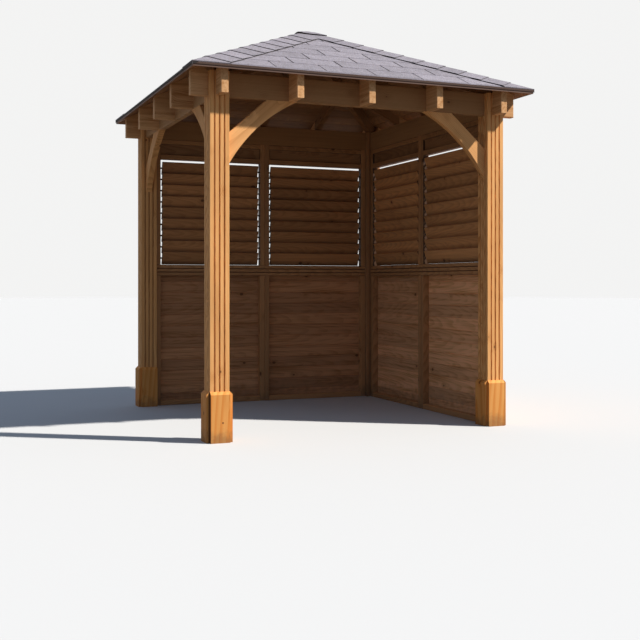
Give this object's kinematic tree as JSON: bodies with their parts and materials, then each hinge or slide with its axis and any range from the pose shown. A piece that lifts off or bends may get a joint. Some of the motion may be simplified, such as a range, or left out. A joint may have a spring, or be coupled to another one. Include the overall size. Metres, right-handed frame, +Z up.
{
  "type": "garden gazebo",
  "caption": "Square open timber gazebo with a pyramid roof in shingles, curved knee braces at the open sides and half-clad, louvred walls on the other sides.",
  "frame": {"origin": "middle of the square plan, on the ground under the post feet", "axes": "+Z up; -Y is the open front with two knee braces, -X the open left side; +Y and +X are the walled sides"},
  "size_m": [2.29, 2.29, 2.7436],
  "materials": {
    "frame_timber": "planed softwood, honey-orange treatment",
    "cladding_timber": "planed tongue-and-groove softwood",
    "slat_timber": "planed softwood slats, darker brown",
    "roof_board": "sawn roof boarding",
    "shingle": "mineral-faced bitumen felt shingle, lilac grey"
  },
  "bodies": {
    "root": {"apex_block": "frame_timber", "apex_cap": "shingle", "back_wall_cladding": "cladding_timber", "back_wall_header_boards": "cladding_timber", "back_wall_louvres_1": "slat_timber", "back_wall_louvres_2": "slat_timber", "back_wall_rails": "frame_timber", "back_wall_stiles": "frame_timber", "beam_back": "frame_timber", "beam_front": "frame_timber", "beam_left": "frame_timber", "beam_right": "frame_timber", "brace_front_at_left": "frame_timber", "brace_front_at_right": "frame_timber", "brace_left_at_back": "frame_timber", "brace_left_at_front": "frame_timber", "hip_caps": "shingle", "hip_rafters": "frame_timber", "post_back_left": "frame_timber", "post_back_right": "frame_timber", "post_front_left": "frame_timber", "post_front_right": "frame_timber", "rafter_tails": "frame_timber", "rafters_back": "frame_timber", "rafters_front": "frame_timber", "rafters_left": "frame_timber", "rafters_right": "frame_timber", "right_wall_cladding": "cladding_timber", "right_wall_header_boards": "cladding_timber", "right_wall_louvres_1": "slat_timber", "right_wall_louvres_2": "slat_timber", "right_wall_rails": "frame_timber", "right_wall_stiles": "frame_timber", "roof_boards_back": "roof_board", "roof_boards_front": "roof_board", "roof_boards_left": "roof_board", "roof_boards_right": "roof_board", "shingles_back": "shingle", "shingles_front": "shingle", "shingles_left": "shingle", "shingles_right": "shingle", "skirt_back_left": "frame_timber", "skirt_back_right": "frame_timber", "skirt_front_left": "frame_timber", "skirt_front_right": "frame_timber"}
  },
  "joints": []
}
